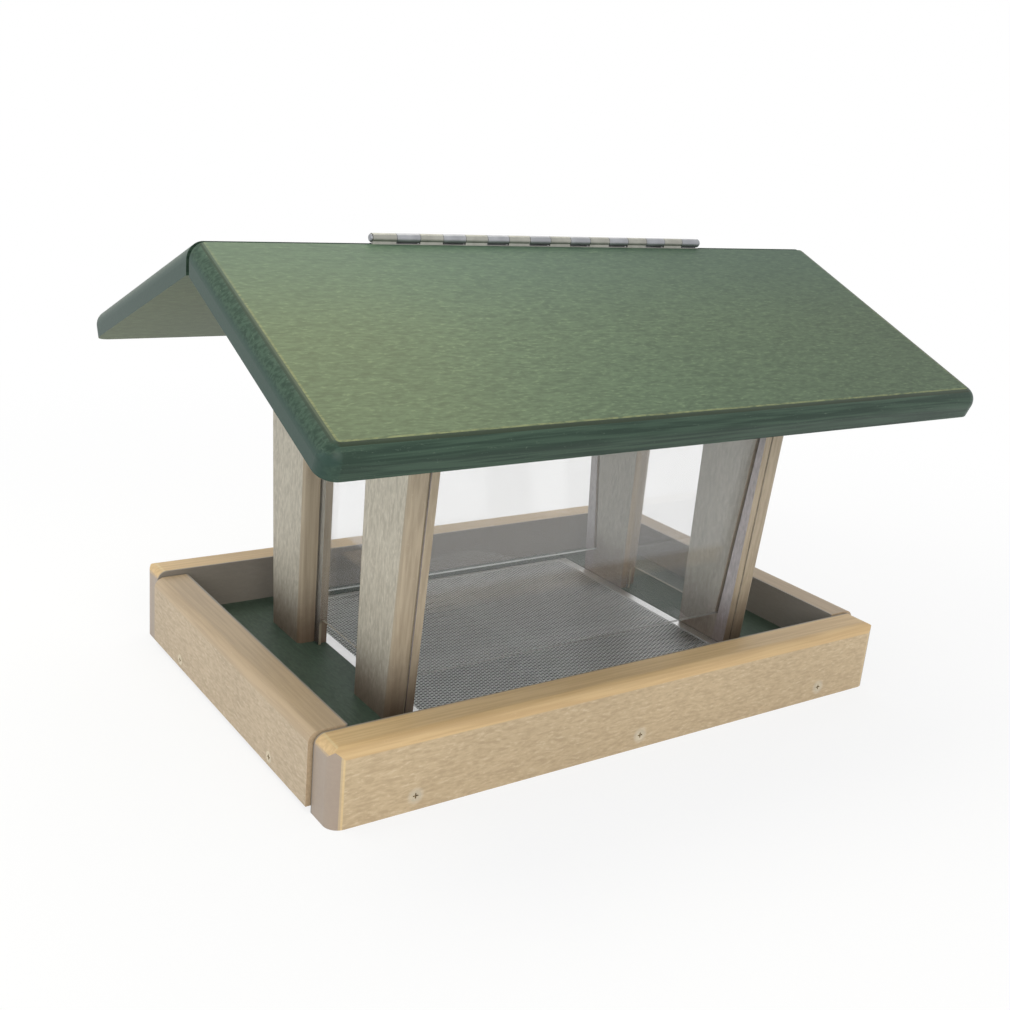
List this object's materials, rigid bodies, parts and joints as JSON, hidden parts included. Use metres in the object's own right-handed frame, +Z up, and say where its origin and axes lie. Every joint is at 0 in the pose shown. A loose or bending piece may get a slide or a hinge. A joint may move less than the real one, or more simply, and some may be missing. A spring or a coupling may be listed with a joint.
{
  "type": "hopper bird feeder",
  "caption": "Hopper bird feeder with a railed tray, mesh floor, slanted clear panels on four posts and a gable roof whose front slope lifts on a ridge hinge.",
  "frame": {"origin": "centre of the tray on the ground", "axes": "+X along the ridge to the right end, +Y to the back, +Z up"},
  "size_m": [0.558, 0.3972, 0.3448],
  "materials": {
    "tan_lumber": "mottled",
    "driftwood_lumber": "mottled",
    "green_floor": "satin",
    "green_roof": "mottled",
    "clear_sheet": "clear",
    "screen_mesh": "satin",
    "hinge_steel": "satin",
    "screw_steel": "satin"
  },
  "bodies": {
    "base": {"front_rail": "tan_lumber", "rear_rail": "tan_lumber", "left_rail": "tan_lumber", "right_rail": "tan_lumber", "floor_left": "green_floor", "floor_right": "green_floor", "front_ledge": "green_floor", "rear_ledge": "green_floor", "centre_support": "green_floor", "screen": "screen_mesh", "post_front_left": "driftwood_lumber", "post_front_right": "driftwood_lumber", "post_rear_left": "driftwood_lumber", "post_rear_right": "driftwood_lumber", "guide_front_left": "driftwood_lumber", "guide_front_right": "driftwood_lumber", "guide_rear_left": "driftwood_lumber", "guide_rear_right": "driftwood_lumber", "cleat_front_left": "driftwood_lumber", "cleat_front_right": "driftwood_lumber", "cleat_rear_left": "driftwood_lumber", "cleat_rear_right": "driftwood_lumber", "panel_stops": "driftwood_lumber", "front_panel": "clear_sheet", "rear_panel": "clear_sheet", "end_panel_left": "clear_sheet", "end_panel_right": "clear_sheet", "rear_roof_panel": "green_roof", "hinge_leaf_rear": "hinge_steel", "hinge_pin": "hinge_steel", "rail_screws": "screw_steel", "post_screws": "screw_steel", "roof_screws": "screw_steel", "hinge_screws_rear": "screw_steel"},
    "lid": {"front_roof_panel": "green_roof", "hinge_leaf_front": "hinge_steel", "hinge_screws_front": "screw_steel"}
  },
  "joints": [
    {"name": "roof_hinge", "type": "hinge", "parent": "base", "child": "lid", "pos_m": [0, 0, 0.3415], "axis": [-1, 0, 0], "range_deg": [0, 225]}
  ]
}
